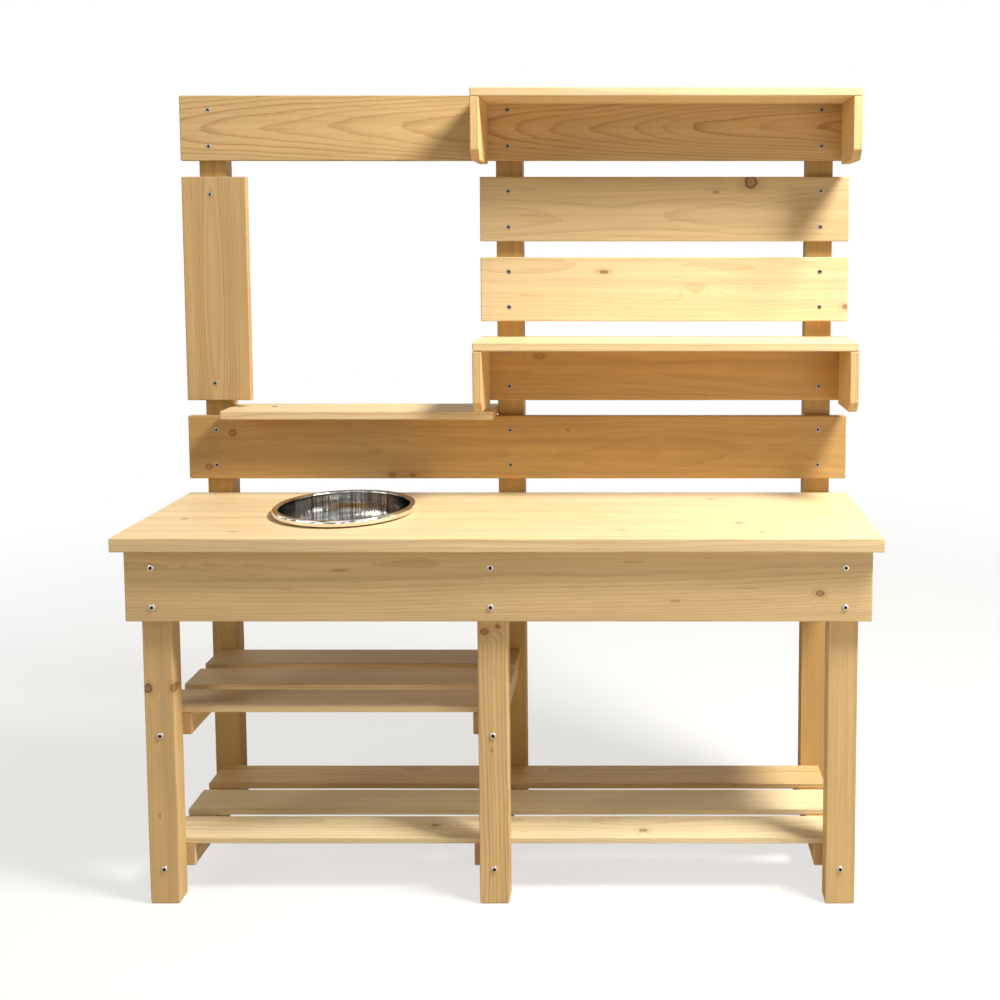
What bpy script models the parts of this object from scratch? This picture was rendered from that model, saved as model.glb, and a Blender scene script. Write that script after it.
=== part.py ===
"""Children's potting bench in planed softwood with a lift-out steel bowl.

The frame has its origin on the floor, below the middle of the bench. +X runs to the bench's right
as its user faces it, +Y runs to the back boards and +Z runs up. All lengths are in metres.

The bench has three legs in front and three tall posts behind. Aprons and a rear rail carry the
worktop, bearers carry two slatted shelves, and boards screwed to the fronts of the posts make the
back, with a window opening on the left and two small bracketed shelves on the right.
"""

import math

import bmesh
import bpy
from mathutils import Euler, Vector

# Timber sections
TOP_LENGTH = 1.000
TOP_DEPTH = 0.273
TOP_THICKNESS = 0.019
BOARD_WIDTH = 0.096
BOARD_THICKNESS = 0.013
LEG_WIDTH = 0.040
LEG_DEPTH = 0.028
BEARER_HEIGHT = 0.031
SLAT_WIDTH = 0.060
SLAT_THICKNESS = 0.009

# Heights above the floor
TOP_HEIGHT = 0.507
MIDDLE_SHELF_HEIGHT = 0.262
LOWER_SHELF_HEIGHT = 0.078
POST_TOP_DROP = 0.006

# Positions across the bench
LEG_OFFSET = 0.4525
MIDDLE_LEG_X = -0.0105
APRON_LENGTH = 0.976
BACK_LENGTH = 0.990
SHORT_BACK_LENGTH = 0.548
BEARER_INSET = 0.011
SLAT_OVERHANG = 0.003

# Positions from front to back
APRON_RECESS = 0.015
BOARD_GAP = 0.023
SLATS_PER_SHELF = 3

# Small bracketed shelves and the window ledge
SHELF_DEPTH = 0.096
BRACKET_HEIGHT = 0.088
BRACKET_CHAMFER = 0.014
LEDGE_OVERHANG = 0.041

# Lift-out bowl
BOWL_X = -0.232
BOWL_FROM_FRONT = 0.1457
BOWL_HOLE_RADIUS = 0.093
RIM_RADIUS = 0.0985
MOUTH_RADIUS = 0.0905
RIM_HEIGHT = 0.0105
RIM_CORNER = 0.002
BOWL_DEPTH = 0.085
BOWL_CORNER = 0.040
STEEL = 0.001
BOWL_STEPS = 48

# Screws
HEAD_RADIUS = 0.0045
HEAD_HEIGHT = 0.0016
SHANK_RADIUS = 0.0021
SCREW_LENGTH = 0.034
DRIVE_RADIUS = 0.0018
DRIVE_DEPTH = 0.0010
HOLE_CLEARANCE = 0.0003
INTO_WOOD = (-math.pi / 2, 0.0, 0.0)
SCREW_STEPS = 12
BACK_SCREW_INSET = 0.0215
APRON_SCREW_FROM_TOP = 0.0238
APRON_SCREW_FROM_BOTTOM = 0.0194
BEARER_SCREW_RISE = 0.011

# Fits and edges
GAP = 0.0003
EDGE = 0.0015
SLAT_EDGE = 0.0010
FOOT_CHAMFER = 0.004

# Planes worked out from the sizes above
TOTAL_DEPTH = TOP_DEPTH + LEG_DEPTH
FRONT = -TOTAL_DEPTH / 2
APRON_FRONT = FRONT + APRON_RECESS
LEG_FRONT = APRON_FRONT + BOARD_THICKNESS
LEG_BACK = LEG_FRONT + LEG_DEPTH
POST_FRONT = FRONT + TOP_DEPTH
POST_BACK = POST_FRONT + LEG_DEPTH
BACK_FRONT = POST_FRONT - BOARD_THICKNESS
TOP_UNDERSIDE = TOP_HEIGHT - TOP_THICKNESS
APRON_BOTTOM = TOP_UNDERSIDE - BOARD_WIDTH
BOARD_PITCH = BOARD_WIDTH + BOARD_GAP
LOWEST_BOARD = TOP_HEIGHT + BOARD_GAP
TOTAL_HEIGHT = LOWEST_BOARD + 4 * BOARD_PITCH + BOARD_WIDTH
HALF_BACK = BACK_LENGTH / 2
SHORT_LEFT = HALF_BACK - SHORT_BACK_LENGTH
LEG_OUTSIDE = LEG_OFFSET + LEG_WIDTH / 2
BOWL_PLACE = (BOWL_X, FRONT + BOWL_FROM_FRONT, TOP_HEIGHT)

LEG_PLACES = {"left": -LEG_OFFSET, "middle": MIDDLE_LEG_X, "right": LEG_OFFSET}
BEARER_SHIFTS = {"left": BEARER_INSET, "middle": -BEARER_INSET, "right": -BEARER_INSET}
BACK_BOARD_BOTTOMS = [LOWEST_BOARD + BOARD_PITCH * step for step in range(5)]


def clear_scene():
    """Removes whatever the start-up file holds."""
    for obj in list(bpy.data.objects):
        bpy.data.objects.remove(obj, do_unlink=True)


def principled(name, colour, roughness, metallic):
    """A material with one Principled BSDF."""
    material = bpy.data.materials.new(name)
    material.use_nodes = True
    shader = material.node_tree.nodes["Principled BSDF"]
    shader.inputs["Base Color"].default_value = (*colour, 1.0)
    shader.inputs["Roughness"].default_value = roughness
    shader.inputs["Metallic"].default_value = metallic
    return material


def add_object(name, mesh, material):
    """Links a mesh to the scene as a named object with one material."""
    obj = bpy.data.objects.new(name, mesh)
    mesh.materials.append(material)
    bpy.context.scene.collection.objects.link(obj)
    return obj


def mesh_from(name, shape):
    """Turns a bmesh into a mesh, with its faces pointing out."""
    bmesh.ops.recalc_face_normals(shape, faces=shape.faces[:])
    mesh = bpy.data.meshes.new(name)
    shape.to_mesh(mesh)
    shape.free()
    return mesh


def board(name, material, x_span, y_span, z_span, edge=EDGE):
    """A planed piece with eased edges. Half a gap comes off every side, so that neighbours clear."""
    low = Vector((x_span[0], y_span[0], z_span[0])) + Vector.Fill(3, GAP / 2)
    high = Vector((x_span[1], y_span[1], z_span[1])) - Vector.Fill(3, GAP / 2)
    shape = bmesh.new()
    bmesh.ops.create_cube(shape, size=1.0)
    bmesh.ops.scale(shape, vec=high - low, verts=shape.verts[:])
    piece = add_object(name, mesh_from(name, shape), material)
    piece.location = (low + high) / 2
    eased = piece.modifiers.new("Eased edges", "BEVEL")
    eased.width = edge
    eased.segments = 1
    return piece


def footed(name, material, x_middle, y_span, z_top):
    """A leg or post: its foot has a wider chamfer than its long edges."""
    half = Vector((LEG_WIDTH - GAP, y_span[1] - y_span[0] - GAP, 0)) / 2
    inner = half - Vector((FOOT_CHAMFER, FOOT_CHAMFER, 0))
    rings = [(inner, 0.0), (half, FOOT_CHAMFER), (half, z_top - EDGE), (half - Vector((EDGE, EDGE, 0)), z_top)]
    corners = [(-1, -1), (1, -1), (1, 1), (-1, 1)]
    shape = bmesh.new()
    loops = []
    for reach, height in rings:
        loops.append([shape.verts.new((reach.x * sx, reach.y * sy, height)) for sx, sy in corners])
    for below, above in zip(loops, loops[1:]):
        for here in range(4):
            there = (here + 1) % 4
            shape.faces.new((below[here], below[there], above[there], above[here]))
    shape.faces.new(reversed(loops[0]))
    shape.faces.new(loops[-1])
    piece = add_object(name, mesh_from(name, shape), material)
    piece.location = (x_middle, (y_span[0] + y_span[1]) / 2, 0.0)
    return piece


def bracket(name, material, x_span, z_top):
    """A shelf bracket: a plate whose lower front corner is cut off."""
    front = BACK_FRONT - SHELF_DEPTH + GAP / 2
    back = BACK_FRONT - GAP / 2
    top = z_top - GAP / 2
    bottom = z_top - BRACKET_HEIGHT
    outline = [
        (front, top),
        (back, top),
        (back, bottom),
        (front + BRACKET_CHAMFER, bottom),
        (front, bottom + BRACKET_CHAMFER),
    ]
    left = x_span[0] + GAP / 2
    thickness = x_span[1] - x_span[0] - GAP
    shape = bmesh.new()
    plate = shape.faces.new([shape.verts.new((left, y, z)) for y, z in outline])
    pulled = bmesh.ops.extrude_face_region(shape, geom=[plate])["geom"]
    moved = [item for item in pulled if isinstance(item, bmesh.types.BMVert)]
    bmesh.ops.translate(shape, verts=moved, vec=(thickness, 0, 0))
    piece = add_object(name, mesh_from(name, shape), material)
    eased = piece.modifiers.new("Eased edges", "BEVEL")
    eased.width = SLAT_EDGE
    eased.segments = 1
    return piece


def cut_with(piece, shape, label, place=(0.0, 0.0, 0.0)):
    """Subtracts a closed shape, moved to its place in the world, from a piece."""
    cutter_name = f"{piece.name}_{label}"
    cutter = bpy.data.objects.new(cutter_name, mesh_from(cutter_name, shape))
    bpy.context.scene.collection.objects.link(cutter)
    cutter.location = place
    cutter.hide_render = True
    cutter.display_type = "WIRE"
    cut = piece.modifiers.new(label, "BOOLEAN")
    cut.operation = "DIFFERENCE"
    cut.solver = "EXACT"
    cut.object = cutter


def screw(name, material, head_place, pieces):
    """A pan-head screw driven along +Y, and the clearance hole that it has in each piece it holds."""
    profile = [
        (0.0, DRIVE_DEPTH - HEAD_HEIGHT),
        (DRIVE_RADIUS, DRIVE_DEPTH - HEAD_HEIGHT),
        (DRIVE_RADIUS, -HEAD_HEIGHT),
        (HEAD_RADIUS * 0.75, -HEAD_HEIGHT),
        (HEAD_RADIUS, -HEAD_HEIGHT * 0.45),
        (HEAD_RADIUS, -GAP),
        (SHANK_RADIUS, -GAP),
        (SHANK_RADIUS, SCREW_LENGTH - 2 * SHANK_RADIUS),
        (0.0, SCREW_LENGTH),
    ]
    piece = turned(name, material, profile, SCREW_STEPS)
    piece.location = head_place
    piece.rotation_euler = INTO_WOOD
    for number, held in enumerate(pieces):
        hole = bmesh.new()
        radius = SHANK_RADIUS + HOLE_CLEARANCE
        length = 2 * (SCREW_LENGTH + HOLE_CLEARANCE)
        turn = Euler(INTO_WOOD).to_matrix().to_4x4()
        bmesh.ops.create_cone(
            hole, cap_ends=True, segments=SCREW_STEPS, radius1=radius, radius2=radius, depth=length, matrix=turn
        )
        cut_with(held, hole, f"hole_{name}_{number}", head_place)


def turned(name, material, profile, steps):
    """A solid of revolution about Z. The profile starts and ends on the axis."""
    shape = bmesh.new()
    rings = []
    for radius, height in profile:
        if radius == 0.0:
            rings.append([shape.verts.new((0.0, 0.0, height))])
            continue
        angles = [math.tau * step / steps for step in range(steps)]
        rings.append([shape.verts.new((radius * math.cos(a), radius * math.sin(a), height)) for a in angles])
    for one, two in zip(rings, rings[1:]):
        for here in range(steps):
            there = (here + 1) % steps
            corners = [one[here % len(one)], one[there % len(one)], two[there % len(two)], two[here % len(two)]]
            shape.faces.new(list(dict.fromkeys(corners)))
    mesh = mesh_from(name, shape)
    mesh.shade_smooth()
    mesh.set_sharp_from_angle(angle=math.radians(35))
    return add_object(name, mesh, material)


def arc(centre, radius, start, end, steps):
    """Points round part of a circle, with the angles in degrees."""
    points = []
    for step in range(steps + 1):
        angle = math.radians(start + (end - start) * step / steps)
        points.append((centre[0] + radius * math.cos(angle), centre[1] + radius * math.sin(angle)))
    return points


def bowl_profile():
    """Half section of the bowl: up the inside, over the rim, down its lip, and back under to the base."""
    mouth = RIM_HEIGHT
    floor = mouth - BOWL_DEPTH
    wall_foot = floor + BOWL_CORNER
    inner_corner = arc((MOUTH_RADIUS - BOWL_CORNER, wall_foot), BOWL_CORNER, -90, 0, 8)
    outer_corner = arc((MOUTH_RADIUS - BOWL_CORNER, wall_foot), BOWL_CORNER + STEEL, 0, -90, 8)
    rim_outside = arc((RIM_RADIUS - RIM_CORNER, mouth - RIM_CORNER), RIM_CORNER, 90, 0, 3)
    inside = [(0.0, floor), *inner_corner, (MOUTH_RADIUS, mouth - RIM_CORNER)]
    over = [(MOUTH_RADIUS + RIM_CORNER / 2, mouth), *rim_outside]
    lip = [(RIM_RADIUS, GAP), (RIM_RADIUS - STEEL, GAP), (RIM_RADIUS - STEEL, mouth - RIM_CORNER)]
    under = [(MOUTH_RADIUS + STEEL + RIM_CORNER / 2, mouth - STEEL), (MOUTH_RADIUS + STEEL, mouth - RIM_CORNER)]
    return [*inside, *over, *lip, *under, *outer_corner, (0.0, floor - STEEL)]


def worktop(wood):
    """The worktop, with the round hole that the bowl hangs in."""
    top = board(
        "worktop",
        wood,
        (-TOP_LENGTH / 2, TOP_LENGTH / 2),
        (FRONT, POST_FRONT),
        (TOP_UNDERSIDE, TOP_HEIGHT),
        edge=0.002,
    )
    hole = bmesh.new()
    bmesh.ops.create_cone(
        hole,
        cap_ends=True,
        segments=BOWL_STEPS,
        radius1=BOWL_HOLE_RADIUS,
        radius2=BOWL_HOLE_RADIUS,
        depth=3 * TOP_THICKNESS,
    )
    cut_with(top, hole, "bowl_hole", BOWL_PLACE)


def aprons(wood):
    """The front apron, the two side aprons behind its ends, and the rear rail on the posts."""
    heights = (APRON_BOTTOM, TOP_UNDERSIDE)
    half = APRON_LENGTH / 2
    front = board("front_apron", wood, (-half, half), (APRON_FRONT, LEG_FRONT), heights)
    for side, sign in (("left", -1), ("right", 1)):
        span = sorted((sign * LEG_OUTSIDE, sign * (LEG_OUTSIDE + BOARD_THICKNESS)))
        board(f"{side}_side_apron", wood, span, (LEG_FRONT, POST_BACK), heights)
    board("rear_rail", wood, (-LEG_OUTSIDE, LEG_OUTSIDE), (BACK_FRONT, POST_FRONT), heights)
    return front


def legs(wood):
    """Three short legs under the worktop's front."""
    made = {}
    for place, x in LEG_PLACES.items():
        made[place] = footed(f"{place}_leg", wood, x, (LEG_FRONT, LEG_BACK), TOP_UNDERSIDE - GAP)
    return made


def posts(wood):
    """Three tall posts, which run from the floor to just below the top of the back."""
    made = {}
    for place, x in LEG_PLACES.items():
        made[place] = footed(f"{place}_post", wood, x, (POST_FRONT, POST_BACK), TOTAL_HEIGHT - POST_TOP_DROP)
    return made


def bearer_span(place):
    """The bearer's extent along X: it stands a little inward of its leg."""
    middle = LEG_PLACES[place] + BEARER_SHIFTS[place]
    return (middle - LEG_WIDTH / 2, middle + LEG_WIDTH / 2)


def bearer(name, wood, place, z_top):
    """A batten that runs from the back of a leg to the front of the post behind it."""
    return board(name, wood, bearer_span(place), (LEG_BACK, POST_FRONT), (z_top - BEARER_HEIGHT, z_top))


def shelf_slats(name, wood, x_span, z_top):
    """Three slats with even gaps, between the legs and the posts."""
    room = POST_FRONT - LEG_BACK
    step = (room - SLAT_WIDTH) / (SLATS_PER_SHELF - 1)
    for number in range(SLATS_PER_SHELF):
        front = LEG_BACK + step * number
        heights = (z_top - SLAT_THICKNESS, z_top)
        board(f"{name}_slat_{number + 1}", wood, x_span, (front, front + SLAT_WIDTH), heights, edge=SLAT_EDGE)


def slatted_shelves(wood):
    """The short middle shelf in the left bay, and the full-width lower shelf."""
    made = {}
    for place in ("left", "middle"):
        top = MIDDLE_SHELF_HEIGHT - SLAT_THICKNESS
        made["middle_shelf", place] = bearer(f"middle_shelf_{place}_bearer", wood, place, top)
    for place in LEG_PLACES:
        top = LOWER_SHELF_HEIGHT - SLAT_THICKNESS
        made["lower_shelf", place] = bearer(f"lower_shelf_{place}_bearer", wood, place, top)
    left_end = bearer_span("left")[0]
    shelf_slats("middle_shelf", wood, (left_end, bearer_span("middle")[1] + SLAT_OVERHANG), MIDDLE_SHELF_HEIGHT)
    shelf_slats("lower_shelf", wood, (left_end, bearer_span("right")[1]), LOWER_SHELF_HEIGHT)
    return made


def top_bearer(wood):
    """A hidden batten under the worktop, from the middle leg to the rear rail."""
    half = LEG_WIDTH / 2
    span = (MIDDLE_LEG_X - half, MIDDLE_LEG_X + half)
    board("top_bearer", wood, span, (LEG_BACK, BACK_FRONT), (TOP_UNDERSIDE - BEARER_HEIGHT, TOP_UNDERSIDE))


def back_boards(wood):
    """Five level boards, counted from the top, and the upright one at the window's left side."""
    made = {}
    for number, bottom in enumerate(reversed(BACK_BOARD_BOTTOMS), start=1):
        left = -HALF_BACK if number in (1, 5) else SHORT_LEFT
        depth = (BACK_FRONT, POST_FRONT)
        made[number] = board(f"back_board_{number}", wood, (left, HALF_BACK), depth, (bottom, bottom + BOARD_WIDTH))
    heights = (BACK_BOARD_BOTTOMS[1], BACK_BOARD_BOTTOMS[3] + BOARD_WIDTH)
    board("upright_board", wood, (-HALF_BACK, -HALF_BACK + BOARD_WIDTH), (BACK_FRONT, POST_FRONT), heights)
    return made


def window_ledge(wood):
    """The ledge that lies on the lowest back board, between the left and the middle post."""
    left = LEG_PLACES["left"] + LEG_WIDTH / 2
    right = LEG_PLACES["middle"] - LEG_WIDTH / 2
    bottom = LOWEST_BOARD + BOARD_WIDTH
    depth = (BACK_FRONT - LEDGE_OVERHANG, POST_BACK)
    board("window_ledge", wood, (left, right), depth, (bottom, bottom + BOARD_THICKNESS))


def bracketed_shelf(name, wood, z_top):
    """A shelf board level with the top of a back board, on a bracket at each end."""
    depth = (BACK_FRONT - SHELF_DEPTH, BACK_FRONT)
    span = (SHORT_LEFT, HALF_BACK)
    board(f"{name}_top", wood, span, depth, (z_top - BOARD_THICKNESS, z_top))
    under = z_top - BOARD_THICKNESS
    bracket(f"{name}_left_bracket", wood, (span[0], span[0] + BOARD_THICKNESS), under)
    bracket(f"{name}_right_bracket", wood, (span[1] - BOARD_THICKNESS, span[1]), under)


def bowl(steel):
    """The steel bowl, whose lip stands on the worktop round the hole."""
    made = turned("bowl", steel, bowl_profile(), BOWL_STEPS)
    made.location = BOWL_PLACE


def apron_screws(steel, apron, made_legs):
    """Two screws through the front apron into each leg."""
    rows = {"upper": TOP_UNDERSIDE - APRON_SCREW_FROM_TOP, "lower": APRON_BOTTOM + APRON_SCREW_FROM_BOTTOM}
    for place, leg in made_legs.items():
        for row, height in rows.items():
            head = (LEG_PLACES[place], APRON_FRONT + GAP / 2, height)
            screw(f"apron_screw_{place}_{row}", steel, head, [apron, leg])


def bearer_screws(steel, made_legs, made_bearers):
    """One screw through a leg into the end of each shelf bearer behind it."""
    shelf_heights = {"middle_shelf": MIDDLE_SHELF_HEIGHT, "lower_shelf": LOWER_SHELF_HEIGHT}
    for (shelf, place), held in made_bearers.items():
        height = shelf_heights[shelf] - SLAT_THICKNESS - BEARER_HEIGHT + BEARER_SCREW_RISE
        head = (LEG_PLACES[place], LEG_FRONT + GAP / 2, height)
        screw(f"{shelf}_screw_{place}", steel, head, [made_legs[place], held])


def back_screws(steel, made_boards, made_posts):
    """Two screws into each post through the two back boards that run the full width."""
    for number in (1, 5):
        bottom = BACK_BOARD_BOTTOMS[5 - number]
        rows = {"upper": bottom + BOARD_WIDTH - BACK_SCREW_INSET, "lower": bottom + BACK_SCREW_INSET}
        for place, post in made_posts.items():
            for row, height in rows.items():
                head = (LEG_PLACES[place], BACK_FRONT + GAP / 2, height)
                screw(f"back_screw_{number}_{place}_{row}", steel, head, [made_boards[number], post])


def main():
    clear_scene()
    wood = principled("planed_softwood", (0.72, 0.50, 0.27), 0.6, 0.0)
    bowl_steel = principled("polished_steel", (0.78, 0.78, 0.77), 0.12, 1.0)
    screw_steel = principled("zinc_plated_steel", (0.75, 0.75, 0.72), 0.3, 1.0)
    worktop(wood)
    apron = aprons(wood)
    made_legs = legs(wood)
    made_posts = posts(wood)
    made_bearers = slatted_shelves(wood)
    top_bearer(wood)
    made_boards = back_boards(wood)
    window_ledge(wood)
    bracketed_shelf("upper_shelf", wood, TOTAL_HEIGHT)
    bracketed_shelf("lower_back_shelf", wood, BACK_BOARD_BOTTOMS[1] + BOARD_WIDTH)
    bowl(bowl_steel)
    apron_screws(screw_steel, apron, made_legs)
    bearer_screws(screw_steel, made_legs, made_bearers)
    back_screws(screw_steel, made_boards, made_posts)


main()
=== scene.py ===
"""The looks of the potting bench: planed softwood, a polished steel bowl and bright screws.

Every timber piece is a lofted plank with eased edges and its own cut of a procedural log, so that
growth rings, knots and end grain agree on all its faces. All lengths are in metres.
"""

import math
import random

import bmesh
import bpy
from mathutils import Matrix, Vector, noise


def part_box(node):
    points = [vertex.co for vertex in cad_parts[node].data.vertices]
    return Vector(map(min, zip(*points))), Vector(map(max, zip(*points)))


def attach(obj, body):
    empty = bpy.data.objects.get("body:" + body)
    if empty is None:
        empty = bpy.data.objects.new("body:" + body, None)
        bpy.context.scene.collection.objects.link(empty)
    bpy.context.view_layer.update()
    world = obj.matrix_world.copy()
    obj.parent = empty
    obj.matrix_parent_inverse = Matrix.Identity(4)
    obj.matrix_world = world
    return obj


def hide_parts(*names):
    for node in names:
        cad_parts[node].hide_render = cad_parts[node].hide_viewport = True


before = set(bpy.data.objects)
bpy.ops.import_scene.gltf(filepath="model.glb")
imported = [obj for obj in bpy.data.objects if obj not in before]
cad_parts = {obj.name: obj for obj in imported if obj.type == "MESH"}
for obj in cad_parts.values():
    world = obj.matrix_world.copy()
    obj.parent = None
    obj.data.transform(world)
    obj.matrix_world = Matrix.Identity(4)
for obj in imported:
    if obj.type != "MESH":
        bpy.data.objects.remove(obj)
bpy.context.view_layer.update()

BENCH = "bench"
BOWL = "bowl"
ACROSS = Vector((1, 0, 0))
DEEP = Vector((0, 1, 0))
UP = Vector((0, 0, 1))
OUT = Vector((0, -1, 0))

# Plank shapes
EDGE_RADIUS = 0.0017
SLAT_RADIUS = 0.0012
GLUED_RADIUS = 0.00025
FOOT_RADIUS = 0.0036
EDGE_STEPS = 4
STATION_PITCH = 0.030
WAVINESS = 0.00022
WEAR = 0.35

# Worktop strips, as distances of their seams from the front edge
SEAMS = (0.038, 0.1447, 0.251)
HOLE_INSET = 0.0055
HOLE_SEGMENTS = 128

# Shelf brackets
BRACKET_CUT = 0.014
BRACKET_RADIUS = 0.0014

# Screws
HEAD_RADIUS = 0.0045
HEAD_HEIGHT = 0.0016
FLUSH_RADIUS = 0.0038
FLUSH_HEIGHT = 0.0006
SCREW_LENGTH = 0.030
SHANK_RADIUS = 0.0019
RECESS_REACH = 0.46
RECESS_WIDTH = 0.26
RECESS_DEPTH = 0.0013
ROW_INSET = 0.0215
UPRIGHT_ROW_INSET = 0.026
LEDGE_SCREW_SHARES = (("left", 0.166), ("right", 0.895))
LEDGE_SCREW_DEPTH = 0.0065
THREAD_PITCH = 0.0012
HEAD_SEGMENTS = 24

# Light of the room from below, from the front and from behind
ROOM_BELOW = (0.26, 0.19, 0.12, 1.0)
ROOM_FRONT = (0.11, 0.098, 0.080, 1.0)
ROOM_BEHIND = (0.34, 0.30, 0.24, 1.0)

# Bowl
RIM_HEIGHT = 0.0105
MOUTH_INSET = 0.008
SHEET = 0.0010
RIM_BEND = 0.0022
BASE_BEND = 0.038
HEM_BEND = 0.0018
FOOT_INSET = 0.0056
FOOT_DROP = 0.0021
BOWL_SEGMENTS = 160

# Stage: lamps as (name, place, aim, size, power, tone), and the camera
LAMPS = (
    ("key", (1.15, -0.58, 2.2), (0.0, 0.0, 0.55), 0.48, 74.0, (1.0, 0.97, 0.91)),
    ("fill", (1.15, -1.30, 0.16), (0.15, -0.10, 0.35), 0.8, 5.5, (1.0, 0.97, 0.90)),
    ("side", (-2.20, -1.20, 1.45), (-0.30, -0.05, 0.22), 0.8, 13.0, (1.0, 0.99, 0.94)),
)
FLOOR_RADIUS = 9.0
CAMERA_PLACE = (0.1819, -1.6062, 0.8911)
CAMERA_DIP = 0.0747
CAMERA_LENS = 41.46
CAMERA_SHIFT = (-0.1381, -0.1750)


# ---------------------------------------------------------------- shader building blocks


class Tree:
    """Adds and joins nodes in one node tree."""

    def __init__(self, owner):
        self.nodes = owner.nodes
        self.links = owner.links

    def add(self, kind, settings=None, **inputs):
        """A node of a kind, with settings, and inputs that are values or other nodes' sockets."""
        node = self.nodes.new(kind)
        for name, value in (settings or {}).items():
            setattr(node, name, value)
        for name, value in inputs.items():
            self.feed(node, name.replace("_", " "), value)
        return node

    def feed(self, node, name, value):
        """Sets or links one input, by its name or by i and its number."""
        numbered = name[0] == "i" and name[1:].isdigit()
        socket = node.inputs[int(name[1:]) if numbered else name]
        if isinstance(value, bpy.types.NodeSocket):
            self.links.new(value, socket)
        else:
            socket.default_value = value

    def math(self, operation, one, two=0.0, three=0.0):
        node = self.add("ShaderNodeMath", {"operation": operation}, i0=one, i1=two, i2=three)
        return node.outputs[0]

    def vector(self, operation, one, two=(0.0, 0.0, 0.0)):
        node = self.add("ShaderNodeVectorMath", {"operation": operation}, i0=one)
        self.feed(node, "Scale" if operation == "SCALE" else "i1", two)
        return node.outputs["Value" if operation in ("LENGTH", "DOT_PRODUCT") else "Vector"]

    def split(self, vector):
        return self.add("ShaderNodeSeparateXYZ", None, Vector=vector).outputs

    def join(self, x, y, z):
        return self.add("ShaderNodeCombineXYZ", None, X=x, Y=y, Z=z).outputs[0]

    def step(self, value, low, high, to_low=0.0, to_high=1.0):
        """A smooth step from low to high. Low may be above high."""
        settings = {"interpolation_type": "SMOOTHSTEP", "clamp": True}
        node = self.add("ShaderNodeMapRange", settings, Value=value)
        for name, amount in (("From Min", low), ("From Max", high), ("To Min", to_low), ("To Max", to_high)):
            self.feed(node, name, amount)
        return node.outputs["Result"]

    def noise(self, point, per_metre, seed, detail=2.0, roughness=0.5):
        """Noise with a given number of features per metre along each axis."""
        scaled = self.vector("MULTIPLY", point, per_metre)
        node = self.add("ShaderNodeTexNoise", {"noise_dimensions": "4D"}, Vector=scaled, W=seed)
        for name, amount in (("Scale", 1.0), ("Detail", detail), ("Roughness", roughness)):
            self.feed(node, name, amount)
        return node.outputs

    def mix(self, amount, one, two, blend="MIX"):
        """Mixes two colours."""
        node = self.add("ShaderNodeMix", {"data_type": "RGBA", "blend_type": blend})
        for index, value in ((0, amount), (6, one), (7, two)):
            self.feed(node, f"i{index}", value)
        return node.outputs[2]


def new_group(name, inputs, outputs):
    """A node group with float, vector and colour sockets: the group, its tree and its end nodes."""
    group = bpy.data.node_groups.new(name, "ShaderNodeTree")
    kinds = {"f": "NodeSocketFloat", "v": "NodeSocketVector", "c": "NodeSocketColor"}
    for way, sockets in (("INPUT", inputs), ("OUTPUT", outputs)):
        for label, kind in sockets:
            group.interface.new_socket(label, in_out=way, socket_type=kinds[kind])
    tree = Tree(group)
    return group, tree, tree.add("NodeGroupInput").outputs, tree.add("NodeGroupOutput")


CHAIN = [("Push", "f"), ("Heart", "f"), ("Bark", "f"), ("Halo", "f")]


def knot_group():
    """One knot: it pushes the growth rings aside and darkens its heart, its bark ring and a halo."""
    inputs = [("Point", "v"), ("Centre", "v"), ("Radius", "f"), ("Stretch", "f"), ("Dark", "f"), *CHAIN]
    group, tree, given, out = new_group("knot", inputs, CHAIN)
    x, y, z = tree.split(tree.vector("SUBTRACT", given["Point"], given["Centre"]))
    squeezed = tree.join(tree.math("DIVIDE", x, given["Stretch"]), y, tree.math("MULTIPLY", z, 0.25))
    ragged = tree.noise(given["Point"], (90.0, 160.0, 160.0), given["Radius"])["Fac"]
    share = tree.math("DIVIDE", tree.vector("LENGTH", squeezed), given["Radius"])
    share = tree.math("ADD", share, tree.math("MULTIPLY_ADD", ragged, 0.7, -0.35))
    bend = tree.math("POWER", math.e, tree.math("MULTIPLY", tree.math("MULTIPLY", share, share), -0.16))
    push = tree.math("MULTIPLY", bend, tree.math("MULTIPLY", given["Radius"], 1.9))
    heart = tree.math("MULTIPLY", tree.step(share, 1.02, 0.80), given["Dark"])
    off_ring = tree.math("MULTIPLY", tree.math("SUBTRACT", share, 0.98), 5.0)
    bark = tree.math("POWER", math.e, tree.math("MULTIPLY", tree.math("MULTIPLY", off_ring, off_ring), -1.0))
    bark = tree.math("MULTIPLY", bark, given["Dark"])
    halo = tree.math("MULTIPLY", tree.step(share, 3.4, 0.9), given["Dark"])
    tree.feed(out, "Push", tree.math("ADD", push, given["Push"]))
    for name, amount in (("Heart", heart), ("Bark", bark), ("Halo", halo)):
        tree.feed(out, name, tree.math("MAXIMUM", amount, given[name]))
    return group


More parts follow.
